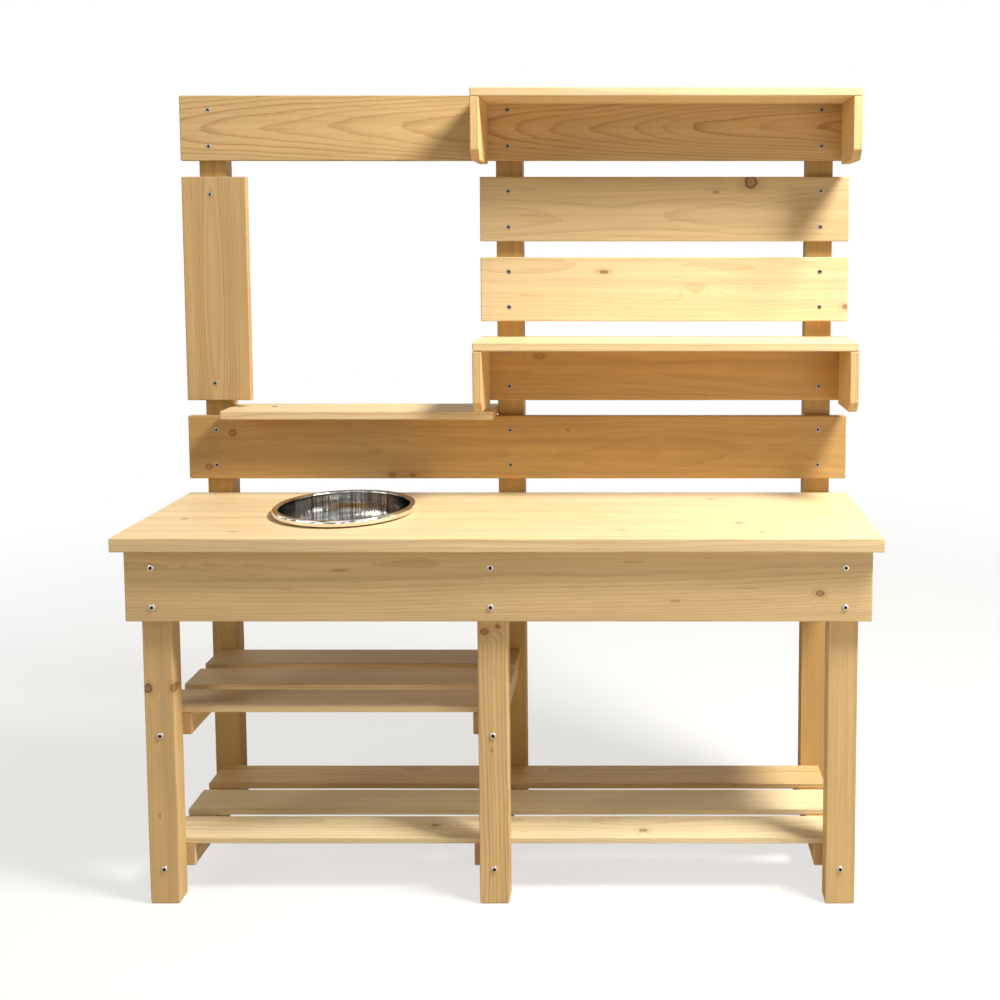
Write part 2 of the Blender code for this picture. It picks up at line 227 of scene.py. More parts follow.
def growth_rings(tree, given):
    """The late-wood share at a point of the log, from 0 to 1, and how far into its ring the point is."""
    point, seed = given["Point"], given["Seed"]
    slow = tree.noise(point, (2.6, 9.0, 9.0), seed, 2.0)["Color"]
    quick = tree.noise(point, (9.0, 60.0, 60.0), seed, 2.0)["Color"]
    sway = tree.vector("SCALE", tree.vector("SUBTRACT", slow, (0.5, 0.5, 0.5)), given["Figure"])
    jagged = tree.noise(point, (50.0, 260.0, 260.0), seed, 2.0)["Color"]
    ripple = tree.vector("SCALE", tree.vector("SUBTRACT", quick, (0.5, 0.5, 0.5)), 0.0018)
    teeth = tree.vector("SCALE", tree.vector("SUBTRACT", jagged, (0.5, 0.5, 0.5)), 0.0007)
    x = tree.split(point)[0]
    pith = tree.vector("ADD", given["Pith"], tree.vector("SCALE", given["Lean"], x))
    pith = tree.vector("ADD", pith, tree.vector("SCALE", given["Bow"], tree.math("MULTIPLY", x, x)))
    from_pith = tree.vector("SUBTRACT", point, pith)
    for shift in (sway, ripple, teeth):
        from_pith = tree.vector("ADD", from_pith, shift)
    _, y, z = tree.split(from_pith)
    radius = tree.math("ADD", tree.vector("LENGTH", tree.join(0.0, y, z)), given["Push"])
    uneven = tree.noise(tree.join(radius, 0.0, 0.0), (70.0, 1.0, 1.0), seed, 1.0)["Fac"]
    count = tree.math("DIVIDE", radius, given["Ring"])
    count = tree.math("ADD", count, tree.math("MULTIPLY", uneven, 1.6))
    within = tree.math("FRACT", count)
    numbered = tree.math("FLOOR", count)
    strength = tree.add("ShaderNodeTexWhiteNoise", {"noise_dimensions": "1D"}, W=numbered).outputs["Value"]
    rise = tree.math("POWER", tree.step(within, 0.38, 0.96), 2.4)
    band = tree.math("MULTIPLY", rise, tree.step(within, 1.0, 0.965))
    late = tree.math("MULTIPLY", band, tree.math("MULTIPLY_ADD", strength, 0.80, 0.30))
    return late, within


def near_edge(tree, given):
    """How close a point is to one of the plank's edges, from 0 to 1."""
    away = tree.vector("SUBTRACT", given["Half size"], tree.vector("ABSOLUTE", given["Point"]))
    x, y, z = tree.split(away)
    smallest = tree.math("MINIMUM", x, tree.math("MINIMUM", y, z))
    largest = tree.math("MAXIMUM", x, tree.math("MAXIMUM", y, z))
    total = tree.math("ADD", x, tree.math("ADD", y, z))
    middle = tree.math("SUBTRACT", total, tree.math("ADD", smallest, largest))
    uneven = tree.noise(given["Point"], (45.0, 45.0, 45.0), given["Seed"], 2.0)["Fac"]
    return tree.step(middle, tree.math("MULTIPLY_ADD", uneven, 0.004, 0.0008), 0.0)


def softwood_group():
    """Planed pale softwood: colour, roughness and height at a point in the plank's own axes."""
    inputs = [("Point", "v"), ("Half size", "v"), ("Pith", "v"), ("Lean", "v"), ("Bow", "v"), ("Ring", "f")]
    inputs += [("Figure", "f"), ("Contrast", "f"), ("Seed", "f"), ("Early", "c"), ("Late", "c"), *CHAIN]
    outputs = [("Colour", "c"), ("Roughness", "f"), ("Height", "f")]
    group, tree, given, out = new_group("softwood", inputs, outputs)
    point, seed = given["Point"], given["Seed"]
    late, within = growth_rings(tree, given)
    fibre = tree.noise(point, (16.0, 900.0, 900.0), seed, 3.0, 0.6)["Fac"]
    streak = tree.noise(point, (2.2, 110.0, 110.0), seed, 3.0, 0.6)["Fac"]
    cloud = tree.noise(point, (3.0, 14.0, 14.0), seed, 3.0)["Fac"]
    flecks = tree.noise(point, (55.0, 1300.0, 1300.0), seed, 1.0)["Fac"]
    dashes = tree.noise(point, (20.0, 380.0, 380.0), seed, 2.0)["Fac"]

    colour = tree.mix(tree.math("MULTIPLY", late, given["Contrast"]), given["Early"], given["Late"])
    colour = tree.mix(tree.math("MULTIPLY", within, 0.10), colour, given["Late"])
    for source, low, high in ((streak, 0.90, 1.09), (fibre, 0.955, 1.04), (cloud, 0.93, 1.06)):
        colour = tree.vector("SCALE", colour, tree.step(source, 0.25, 0.75, low, high))
    fleck = tree.math("MULTIPLY", tree.step(flecks, 0.70, 0.80), 0.30)
    colour = tree.mix(fleck, colour, given["Late"])
    dash = tree.math("MULTIPLY", tree.step(dashes, 0.66, 0.76), 0.50)
    colour = tree.mix(dash, colour, given["Late"])
    colour = tree.mix(tree.math("MULTIPLY", given["Halo"], 0.42), colour, (0.50, 0.27, 0.10, 1.0))
    rings = tree.math("SINE", tree.math("MULTIPLY", given["Push"], 3500.0))
    heart_tone = tree.mix(
        tree.math("MULTIPLY_ADD", rings, 0.35, 0.45), (0.40, 0.20, 0.08, 1.0), (0.22, 0.10, 0.04, 1.0)
    )
    colour = tree.mix(tree.math("MULTIPLY", given["Heart"], 0.80), colour, heart_tone)
    colour = tree.mix(tree.math("MULTIPLY", given["Bark"], 0.85), colour, (0.075, 0.032, 0.014, 1.0))

    normal = tree.add("ShaderNodeTexCoord").outputs["Normal"]
    end = tree.step(tree.math("ABSOLUTE", tree.split(normal)[0]), 0.6, 0.9)
    colour = tree.mix(tree.math("MULTIPLY", end, 0.40), colour, (0.42, 0.25, 0.11, 1.0))
    edge = near_edge(tree, given)
    colour = tree.mix(tree.math("MULTIPLY", edge, 0.14), colour, (0.60, 0.40, 0.19, 1.0))

    rough = tree.math("MULTIPLY_ADD", fibre, 0.12, 0.46)
    rough = tree.math("MULTIPLY_ADD", late, -0.08, rough)
    rough = tree.math("MULTIPLY_ADD", end, 0.20, rough)
    height = tree.math("MULTIPLY", fibre, 0.00006)
    height = tree.math("MULTIPLY_ADD", late, 0.00010, height)
    height = tree.math("MULTIPLY_ADD", flecks, 0.00003, height)
    height = tree.math("MULTIPLY_ADD", given["Heart"], -0.00012, height)
    for name, value in (("Colour", colour), ("Roughness", rough), ("Height", height)):
        tree.feed(out, name, value)
    return group


SOFTWOOD = softwood_group()
KNOT = knot_group()


# ---------------------------------------------------------------- cuts of wood

# The honey, amber, biscuit and fawn tones are darker, more saturated copies of the pale wood that carry painted shade,
# for the back boards, the upright board and the posts that stand in shade.
PALE = ((0.76, 0.53, 0.250, 1.0), (0.42, 0.21, 0.075, 1.0))
CREAM = ((0.84, 0.65, 0.375, 1.0), (0.54, 0.32, 0.125, 1.0))
CHALK = ((0.92, 0.76, 0.465, 1.0), (0.56, 0.35, 0.150, 1.0))
OAT = ((0.77, 0.565, 0.290, 1.0), (0.43, 0.23, 0.090, 1.0))
HONEY_PAINTED_SHADE = ((0.56, 0.345, 0.125, 1.0), (0.40, 0.20, 0.070, 1.0))
BISCUIT_PAINTED_SHADE = ((0.66, 0.455, 0.210, 1.0), (0.40, 0.21, 0.080, 1.0))
AMBER_PAINTED_SHADE = ((0.58, 0.37, 0.130, 1.0), (0.36, 0.18, 0.055, 1.0))
WHEAT = ((0.68, 0.50, 0.265, 1.0), (0.42, 0.26, 0.110, 1.0))
FAWN_PAINTED_SHADE = ((0.60, 0.405, 0.185, 1.0), (0.38, 0.21, 0.080, 1.0))


def cut(
    tones=PALE, pith=(0.0, -0.075), lean=(0.0, 0.0), bow=(0.0, 0.0), ring=0.0038, figure=0.014, contrast=0.5, knots=()
):
    """How a plank was sawn from its log. Pith is where the log's centre runs, across and above its own centre.

    Lean and bow are how that line changes with the distance and the squared distance along the plank.
    Each knot is (place along, place across, radius, stretch, darkness) on the plank's show face.
    """
    return {
        "tones": tones,
        "pith": (0.0, *pith),
        "lean": (0.0, *lean),
        "bow": (0.0, *bow),
        "ring": ring,
        "figure": figure,
        "contrast": contrast,
        "knots": knots,
    }


def straight(tones=PALE, ring=0.0026, contrast=0.45, knots=(), side=1):
    """A quarter-sawn plank, whose growth rings are close straight lines on its show face."""
    return cut(tones, pith=(0.085 * side, -0.03), ring=ring, figure=0.010, contrast=contrast, knots=knots)


# Back boards 1, 4 and 5, the upright board and the posts take the darker tones with painted shade.
CUTS = {
    "back_board_1": cut(BISCUIT_PAINTED_SHADE, pith=(0.0, -0.06), lean=(0.0, 0.036), ring=0.0028, figure=0.013, contrast=0.80),
    # Board 2's wheat tone is darker than board 3's cream as painted shade under the upper shelf.
    "back_board_2": cut(
        WHEAT, pith=(-0.012, -0.07), lean=(0.02, 0.0), bow=(0.0, 0.03), ring=0.0032, figure=0.016, contrast=0.32,
        knots=((0.128, 0.040, 0.0085, 1.0, 1.0), (0.076, 0.025, 0.0018, 2.0, 0.7)),
    ),
    "back_board_3": cut(
        CREAM, pith=(0.03, -0.08), bow=(0.1, 0.0), ring=0.0034, figure=0.018, contrast=0.22,
        knots=((-0.090, 0.026, 0.0022, 2.6, 0.9), (0.046, 0.003, 0.0060, 2.2, 0.16), (0.270, -0.026, 0.003, 1.2, 0.8)),
    ),
    "back_board_4": cut(
        HONEY_PAINTED_SHADE, pith=(0.0, -0.07), lean=(-0.05, 0.0), ring=0.0034, figure=0.016, contrast=0.30,
        knots=((-0.187, 0.019, 0.004, 2.0, 0.55),),
    ),
    "back_board_5": cut(
        HONEY_PAINTED_SHADE, pith=(-0.01, -0.062), ring=0.0034, figure=0.026, contrast=0.36,
        knots=(
            (-0.428, 0.022, 0.0045, 1.1, 0.85), (-0.465, -0.030, 0.0038, 1.2, 0.8),
            (-0.189, -0.042, 0.0028, 1.6, 0.9), (-0.158, -0.042, 0.0024, 1.6, 0.8), (0.076, 0.026, 0.0014, 1.4, 0.6),
        ),
    ),
    "upright_board": cut(FAWN_PAINTED_SHADE, pith=(0.004, -0.0212), bow=(0.0, -0.09), ring=0.0024, figure=0.003, contrast=0.66),
    "left_post": straight(AMBER_PAINTED_SHADE),
    "middle_post": straight(AMBER_PAINTED_SHADE, side=-1),
    "right_post": straight(AMBER_PAINTED_SHADE, ring=0.0030),
    "window_ledge": straight(CREAM, contrast=0.4),
    "front_apron": cut(
        OAT, pith=(0.03, -0.060), lean=(0.02, 0.0), bow=(0.03, 0.0), ring=0.0030, figure=0.010, contrast=0.34,
        knots=(
            (0.419, -0.010, 0.0036, 1.3, 0.8), (-0.206, 0.021, 0.0014, 5.0, 0.40), (0.230, -0.020, 0.0014, 4.0, 0.40),
        ),
    ),
    "left_leg": cut(
        PALE, pith=(0.06, -0.045), ring=0.0024, contrast=0.4,
        knots=((0.054, 0.014, 0.0050, 1.1, 1.0), (0.054, -0.020, 0.0042, 1.2, 0.8), (-0.120, 0.004, 0.0012, 2.0, 0.5)),
    ),
    "middle_leg": cut(
        PALE, pith=(0.035, -0.05), ring=0.0028, figure=0.018, contrast=0.7,
        knots=((0.131, 0.010, 0.0050, 0.8, 0.85), (0.138, -0.007, 0.0026, 1.0, 0.8), (-0.030, 0.002, 0.0012, 3.0, 0.5)),
    ),
    "right_leg": straight(PALE, contrast=0.5, side=-1),
    "middle_shelf_slat_1": straight(CREAM, contrast=0.40),
    "middle_shelf_slat_2": straight(CREAM, contrast=0.45, side=-1),
    "middle_shelf_slat_3": straight(WHEAT, contrast=0.45),
    "upper_shelf_top": straight(CREAM, contrast=0.4),
    "lower_back_shelf_top": straight(CREAM, contrast=0.35, side=-1),
    "lower_shelf_slat_2": straight(CHALK, contrast=0.42, side=-1),
    "lower_shelf_slat_1": cut(
        CHALK, pith=(0.02, -0.06), ring=0.0030, figure=0.016, contrast=0.5,
        knots=((-0.100, 0.004, 0.0030, 1.5, 0.7), (0.189, -0.010, 0.0032, 1.5, 0.7)),
    ),
}

STRIP_CUTS = (
    straight(CREAM, contrast=0.35, knots=((-0.352, 0.017, 0.0020, 2.0, 0.6), (0.345, 0.013, 0.0018, 2.0, 0.6))),
    cut(
        CREAM, pith=(0.02, -0.07), ring=0.0030, figure=0.016, contrast=0.42,
        knots=((-0.443, 0.015, 0.0026, 1.5, 0.7), (0.319, -0.008, 0.0028, 1.6, 0.7), (0.161, -0.048, 0.0018, 2.0, 0.6)),
    ),
    cut(
        CREAM, pith=(-0.01, -0.08), ring=0.0032, figure=0.018, contrast=0.42,
        knots=((0.290, 0.027, 0.0026, 1.6, 0.7),),
    ),
    straight(CREAM, contrast=0.35, side=-1),
)


def loose_cut(draw):
    """A cut for a plank with nothing special about it."""
    tones = draw.choice((PALE, PALE, CREAM, WHEAT))
    contrast = draw.uniform(0.40, 0.55)
    if draw.random() < 0.5:
        return straight(tones, ring=draw.uniform(0.0024, 0.0034), contrast=contrast, side=draw.choice((-1, 1)))
    pith = (draw.uniform(-0.02, 0.02), draw.uniform(-0.08, -0.055))
    return cut(tones, pith=pith, ring=draw.uniform(0.0026, 0.0036), figure=0.016, contrast=contrast)


def wood_material(name, half, plan, seed):
    """The softwood of one plank, sawn as its plan says."""
    material = bpy.data.materials.new(name)
    material.use_nodes = True
    tree = Tree(material.node_tree)
    shader = material.node_tree.nodes["Principled BSDF"]
    point = tree.add("ShaderNodeTexCoord").outputs["Object"]
    carried = {label: 0.0 for label, _ in CHAIN}
    for along, across, radius, stretch, dark in plan["knots"]:
        node = tree.add("ShaderNodeGroup", {"node_tree": KNOT}, Point=point, Centre=(along, across, half[2]))
        for label, value in (("Radius", radius), ("Stretch", stretch), ("Dark", dark), *carried.items()):
            tree.feed(node, label, value)
        carried = {label: node.outputs[label] for label in carried}
    early, late = plan["tones"]
    wood = tree.add("ShaderNodeGroup", {"node_tree": SOFTWOOD}, Point=point, Half_size=half, Seed=seed)
    for label, value in (("Early", early), ("Late", late), *carried.items()):
        tree.feed(wood, label, value)
    for label in ("pith", "lean", "bow", "ring", "figure", "contrast"):
        tree.feed(wood, label.capitalize(), plan[label])
    bump = tree.add("ShaderNodeBump", None, Strength=0.7, Distance=1.0, Height=wood.outputs["Height"])
    tree.feed(shader, "Base Color", wood.outputs["Colour"])
    tree.feed(shader, "Roughness", wood.outputs["Roughness"])
    tree.feed(shader, "Normal", bump.outputs["Normal"])
    shader.inputs["Specular IOR Level"].default_value = 0.35
    return material


# ---------------------------------------------------------------- planks


def axes(grain, face):
    """A plank's own axes: along the grain, across it, and out of its show face."""
    return Matrix((grain, face.cross(grain), face)).transposed()


def wander(place, seed, amount):
    """A small smooth change along a plank, from 0 to the amount."""
    return amount * (0.5 + 0.5 * noise.noise(Vector((place * 9.0, seed * 7.3, 0.2))))


def section(half_y, half_z, radii):
    """The points round a cross-section with a radius at each of its four corners."""
    corners = ((1, 1), (-1, 1), (-1, -1), (1, -1))
    points = []
    for turn, ((side_y, side_z), radius) in enumerate(zip(corners, radii)):
        centre_y = side_y * (half_y - radius)
        centre_z = side_z * (half_z - radius)
        for step in range(EDGE_STEPS + 1):
            angle = (turn + step / EDGE_STEPS) * math.pi / 2
            points.append((centre_y + radius * math.cos(angle), centre_z + radius * math.sin(angle)))
    return points


def stations(half_x, start, finish):
    """Places along a plank with the amount its section is drawn in there: rounded ends, then even steps."""
    steps = [math.pi / 2 * step / EDGE_STEPS for step in range(EDGE_STEPS + 1)]
    places = [(-half_x + start * (1 - math.cos(turn)), start * (1 - math.sin(turn))) for turn in steps]
    inner = 2 * half_x - start - finish
    count = max(2, round(inner / STATION_PITCH))
    places += [(-half_x + start + inner * step / count, 0.0) for step in range(1, count)]
    places += [(half_x - finish * (1 - math.cos(turn)), finish * (1 - math.sin(turn))) for turn in reversed(steps)]
    return places


def plank_mesh(name, half, radii, ends, seed):
    """A plank along its own X axis, lofted through slightly uneven cross-sections."""
    shape = bmesh.new()
    rings = []
    for place, drawn_in in stations(half[0], *ends):
        half_y = half[1] - drawn_in - wander(place, seed, WAVINESS)
        half_z = half[2] - drawn_in - wander(place, seed + 0.5, WAVINESS)
        worn = 1.0 + WEAR * noise.noise(Vector((place * 31.0, seed * 3.1, 0.0)))
        shaped = [max(radius * worn - drawn_in, radius * 0.12) for radius in radii]
        rings.append([shape.verts.new((place, y, z)) for y, z in section(half_y, half_z, shaped)])
    for ring, following in zip(rings, rings[1:]):
        for index in range(len(ring)):
            after = (index + 1) % len(ring)
            shape.faces.new((ring[index], ring[after], following[after], following[index]))
    shape.faces.new(list(reversed(rings[0])))
    shape.faces.new(rings[-1])
    bmesh.ops.recalc_face_normals(shape, faces=shape.faces)
    return mesh_of(name, shape)


def mesh_of(name, shape):
    """Turns a bmesh into a smooth-shaded mesh."""
    mesh = bpy.data.meshes.new(name)
    shape.to_mesh(mesh)
    shape.free()
    mesh.shade_smooth()
    return mesh


def place_piece(name, mesh, turned, centre, material, weighted=True):
    """Puts a mesh in the scene, turned and centred, with its material."""
    piece = bpy.data.objects.new(name, mesh)
    bpy.context.scene.collection.objects.link(piece)
    piece.matrix_world = Matrix.Translation(centre) @ turned.to_4x4()
    mesh.materials.clear()
    mesh.materials.append(material)
    if weighted:
        smoothing = piece.modifiers.new("even_normals", "WEIGHTED_NORMAL")
        smoothing.weight = 90
        smoothing.keep_sharp = True
    return piece


def bench_wood(piece, *nodes):
    """The finish, body and stand-in of a timber piece."""
    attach(piece, BENCH)
    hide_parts(*nodes)


def seed_of(name):
    """A number that depends only on a name."""
    return sum((index + 1) * ord(letter) for index, letter in enumerate(name)) % 9973 / 97.0


def half_size(low, high, turned):
    """Half of a box's size in turned axes."""
    size = turned.transposed() @ ((high - low) / 2)
    return Vector((abs(size.x), abs(size.y), abs(size.z)))


def plank(node, grain, face, radius=EDGE_RADIUS, foot=EDGE_RADIUS):
    """A plank in place of a CAD node."""
    low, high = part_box(node)
    turned = axes(grain, face)
    half = half_size(low, high, turned)
    seed = seed_of(node)
    plan = CUTS.get(node) or loose_cut(random.Random(node))
    material = wood_material(f"{node}_wood", half, plan, seed)
    mesh = plank_mesh(f"{node}_planed", half, [radius] * 4, (foot, radius), seed)
    bench_wood(place_piece(f"{node}_planed", mesh, turned, (low + high) / 2, material), node)


def cut_away(piece, cutter):
    """Takes a cutter's shape out of a piece's mesh and removes the cutter."""
    others = [modifier for modifier in piece.modifiers if modifier.show_viewport]
    for modifier in others:
        modifier.show_viewport = False
    modifier = piece.modifiers.new("cut", "BOOLEAN")
    modifier.object = cutter
    modifier.solver = "EXACT"
    bpy.context.view_layer.update()
    graph = bpy.context.evaluated_depsgraph_get()
    left = bpy.data.meshes.new_from_object(piece.evaluated_get(graph))
    left.name = piece.data.name
    piece.modifiers.remove(modifier)
    piece.data = left
    for modifier in others:
        modifier.show_viewport = True
    bpy.data.objects.remove(cutter)
    return left


def drill(piece, centre, radius, length):
    """Cuts a round upright hole through a piece."""
    shape = bmesh.new()
    turned = Matrix.Translation(centre)
    bmesh.ops.create_cone(
        shape, cap_ends=True, segments=HOLE_SEGMENTS, radius1=radius, radius2=radius, depth=length, matrix=turned
    )
    cutter = bpy.data.objects.new("cutter", mesh_of("cutter", shape))
    bpy.context.scene.collection.objects.link(cutter)
    cut_away(piece, cutter).set_sharp_from_angle(angle=math.radians(40))


def worktop():
    """The worktop, glued up from four strips, with the bowl's hole through the middle two."""
    low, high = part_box("worktop")
    bowl_low, bowl_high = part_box("bowl")
    bowl_middle = (bowl_low + bowl_high) / 2
    hole = (bowl_high.x - bowl_low.x) / 2 - HOLE_INSET
    turned = axes(ACROSS, UP)
    edges = [low.y, *(low.y + seam for seam in SEAMS), high.y]
    strips = zip(edges, edges[1:], STRIP_CUTS)
    for number, (front, back, plan) in enumerate(strips, 1):
        strip_low = Vector((low.x, front, low.z))
        strip_high = Vector((high.x, back, high.z))
        half = half_size(strip_low, strip_high, turned)
        name = f"worktop_strip_{number}"
        seed = seed_of(name)
        at_front = EDGE_RADIUS if number == 1 else GLUED_RADIUS
        at_back = EDGE_RADIUS if number == len(STRIP_CUTS) else GLUED_RADIUS
        radii = (at_back, at_front, at_front, at_back)
        mesh = plank_mesh(name, half, radii, (EDGE_RADIUS, EDGE_RADIUS), seed)
        material = wood_material(f"{name}_wood", half, plan, seed)
        piece = place_piece(name, mesh, turned, (strip_low + strip_high) / 2, material)
        if front < bowl_middle.y + hole and back > bowl_middle.y - hole:
            drill(piece, Vector((bowl_middle.x, bowl_middle.y, low.z)), hole, 0.1)
        bench_wood(piece, "worktop")


def bracket(node, face):
    """A shelf bracket with its lower front corner cut off and its edges eased."""
    low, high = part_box(node)
    turned = axes(UP, face)
    half = half_size(low, high, turned)
    front = (turned.transposed() @ OUT).y
    outline = [
        (-half.x, -front * half.y),
        (half.x, -front * half.y),
        (half.x, front * half.y),
        (-half.x + BRACKET_CUT, front * half.y),
        (-half.x, front * (half.y - BRACKET_CUT)),
    ]
    shape = bmesh.new()
    base = shape.faces.new([shape.verts.new((x, y, -half.z)) for x, y in outline])
    grown = bmesh.ops.extrude_face_region(shape, geom=[base], use_keep_orig=True)
    raised = [item for item in grown["geom"] if isinstance(item, bmesh.types.BMVert)]
    bmesh.ops.translate(shape, verts=raised, vec=(0, 0, 2 * half.z))
    bmesh.ops.recalc_face_normals(shape, faces=shape.faces)
    bmesh.ops.bevel(
        shape, geom=shape.edges[:], offset=BRACKET_RADIUS, segments=3, profile=0.5, affect="EDGES"
    )
    seed = seed_of(node)
    material = wood_material(f"{node}_wood", half, straight(PALE, contrast=0.4), seed)
    mesh = mesh_of(f"{node}_planed", shape)
    bench_wood(place_piece(f"{node}_planed", mesh, turned, (low + high) / 2, material), node)


def timber():
    """All the wooden pieces."""
    for number in range(1, 6):
        plank(f"back_board_{number}", ACROSS, OUT)
    plank("front_apron", ACROSS, OUT)
    plank("upright_board", UP, OUT)
    plank("rear_rail", ACROSS, DEEP)
    plank("left_side_apron", DEEP, -ACROSS)
    plank("right_side_apron", DEEP, ACROSS)
    plank("top_bearer", DEEP, ACROSS)
    plank("window_ledge", ACROSS, UP)
    for place in ("left", "middle", "right"):
        plank(f"{place}_leg", UP, OUT, foot=FOOT_RADIUS)
        plank(f"{place}_post", UP, OUT, foot=FOOT_RADIUS)
        plank(f"lower_shelf_{place}_bearer", DEEP, ACROSS)
    for place in ("left", "middle"):
        plank(f"middle_shelf_{place}_bearer", DEEP, ACROSS)
    for shelf in ("middle_shelf", "lower_shelf"):
        for number in range(1, 4):
            plank(f"{shelf}_slat_{number}", ACROSS, UP, radius=SLAT_RADIUS, foot=SLAT_RADIUS)
    for shelf in ("upper_shelf", "lower_back_shelf"):
        plank(f"{shelf}_top", ACROSS, UP)
        bracket(f"{shelf}_left_bracket", ACROSS)
        bracket(f"{shelf}_right_bracket", -ACROSS)
    worktop()


# ---------------------------------------------------------------- steel


def steel_material(name, tone, rough):
    """Bright steel with slightly uneven polish. With a near-black tone it gives the painted shade in the screws' drive
    recesses.
    """
    material = bpy.data.materials.new(name)
    material.use_nodes = True
    tree = Tree(material.node_tree)
    shader = material.node_tree.nodes["Principled BSDF"]
    point = tree.add("ShaderNodeTexCoord").outputs["Object"]
    fine = tree.noise(point, (900.0, 900.0, 900.0), 1.0, 2.0)["Fac"]
    colour = tree.vector("SCALE", tone, tree.step(fine, 0.3, 0.7, 0.80, 1.10))
    bump = tree.add("ShaderNodeBump", None, Distance=1.0, Height=tree.math("MULTIPLY", fine, 0.00003))
    tree.feed(shader, "Base Color", colour)
    tree.feed(shader, "Roughness", tree.math("MULTIPLY_ADD", fine, rough[1], rough[0]))
    tree.feed(shader, "Normal", bump.outputs["Normal"])
    shader.inputs["Metallic"].default_value = 1.0
    return material


def polished_material(mouth):
    """Drawn and polished sheet steel. Its wall is streaked from its base to its mouth with painted reflections: dark
    upright bands painted into its colour.
    """
    material = bpy.data.materials.new("bowl_polish")
    material.use_nodes = True
    tree = Tree(material.node_tree)
    shader = material.node_tree.nodes["Principled BSDF"]
    point = tree.add("ShaderNodeTexCoord").outputs["Object"]
    x, y, _ = tree.split(point)
    around = tree.vector("NORMALIZE", tree.join(x, y, 0.0))
    wide = tree.noise(around, (4.5, 4.5, 4.5), 5.0, 4.0, 0.65)["Fac"]
    narrow = tree.noise(around, (38.0, 38.0, 38.0), 9.0, 3.0, 0.6)["Fac"]
    smear = tree.noise(point, (30.0, 30.0, 14.0), 2.0, 3.0)["Fac"]
    radius = tree.vector("LENGTH", tree.join(x, y, 0.0))
    off_base = tree.step(radius, 0.050, 0.075)
    off_rim = tree.step(radius, mouth + 0.0014, mouth + 0.0006)
    on_wall = tree.math("MULTIPLY", off_base, off_rim)
    # Painted reflection: wide dark upright bands round the wall, painted into the steel's colour
    dark = tree.math("MULTIPLY", on_wall, tree.step(wide, 0.56, 0.40))
    colour = tree.mix(tree.math("MULTIPLY", dark, 0.70), (0.90, 0.90, 0.89, 1.0), (0.26, 0.25, 0.23, 1.0))
    # Painted reflection: narrow dark upright streaks round the wall, multiplied into the colour
    streak = tree.math("MULTIPLY_ADD", on_wall, tree.step(narrow, 0.36, 0.60, -0.50, 0.10), 1.0)
    colour = tree.vector("SCALE", colour, streak)
    rough = tree.math("MULTIPLY_ADD", smear, 0.06, tree.math("MULTIPLY_ADD", narrow, 0.06, 0.005))
    height = tree.math("MULTIPLY_ADD", wide, 0.0016, tree.math("MULTIPLY", narrow, 0.00022))
    height = tree.math("MULTIPLY", height, on_wall)
    bump = tree.add("ShaderNodeBump", None, Strength=1.0, Distance=1.0, Height=height)
    tree.feed(shader, "Base Color", colour)
    tree.feed(shader, "Roughness", rough)
    tree.feed(shader, "Normal", bump.outputs["Normal"])
    shader.inputs["Metallic"].default_value = 1.0
    return material


def quarter(centre, radius, first, way, steps=6):
    """A quarter turn of points round a centre, from a first angle in quarter turns, one way or the other."""
    turns = [(first + way * step / steps) * math.pi / 2 for step in range(steps + 1)]
    return [(centre[0] + radius * math.cos(turn), centre[1] + radius * math.sin(turn)) for turn in turns]


def sheet_outline(line, thickness):
    """The two sides of a bent sheet, from its middle line, joined at its free end."""
    sides = ([], [])
    for index, (x, z) in enumerate(line):
        before = line[max(index - 1, 0)]
        after = line[min(index + 1, len(line) - 1)]
        along = Vector((after[0] - before[0], after[1] - before[1])).normalized()
        for side, way in zip(sides, (0.5, -0.5)):
            side.append((max(x + way * thickness * along.y, 0.0), z - way * thickness * along.x))
    return sides[0] + sides[1][::-1]


def turned_mesh(name, outline, segments):
    """A closed body turned round its own Z axis from an outline that starts and ends on it."""
    shape = bmesh.new()
    rings = []
    for radius, height in outline:
        if radius < 1e-7:
            rings.append([shape.verts.new((0.0, 0.0, height))])
            continue
        turns = [2 * math.pi * step / segments for step in range(segments)]
        rings.append([shape.verts.new((radius * math.cos(turn), radius * math.sin(turn), height)) for turn in turns])
    for ring, following in zip(rings, rings[1:]):
        for index in range(segments):
            after = (index + 1) % segments
            corners = [ring[index % len(ring)], ring[after % len(ring)]]
            corners += [following[after % len(following)], following[index % len(following)]]
            unique = list(dict.fromkeys(corners))
            if len(unique) > 2:
                shape.faces.new(unique)
    bmesh.ops.recalc_face_normals(shape, faces=shape.faces)
    return mesh_of(name, shape)


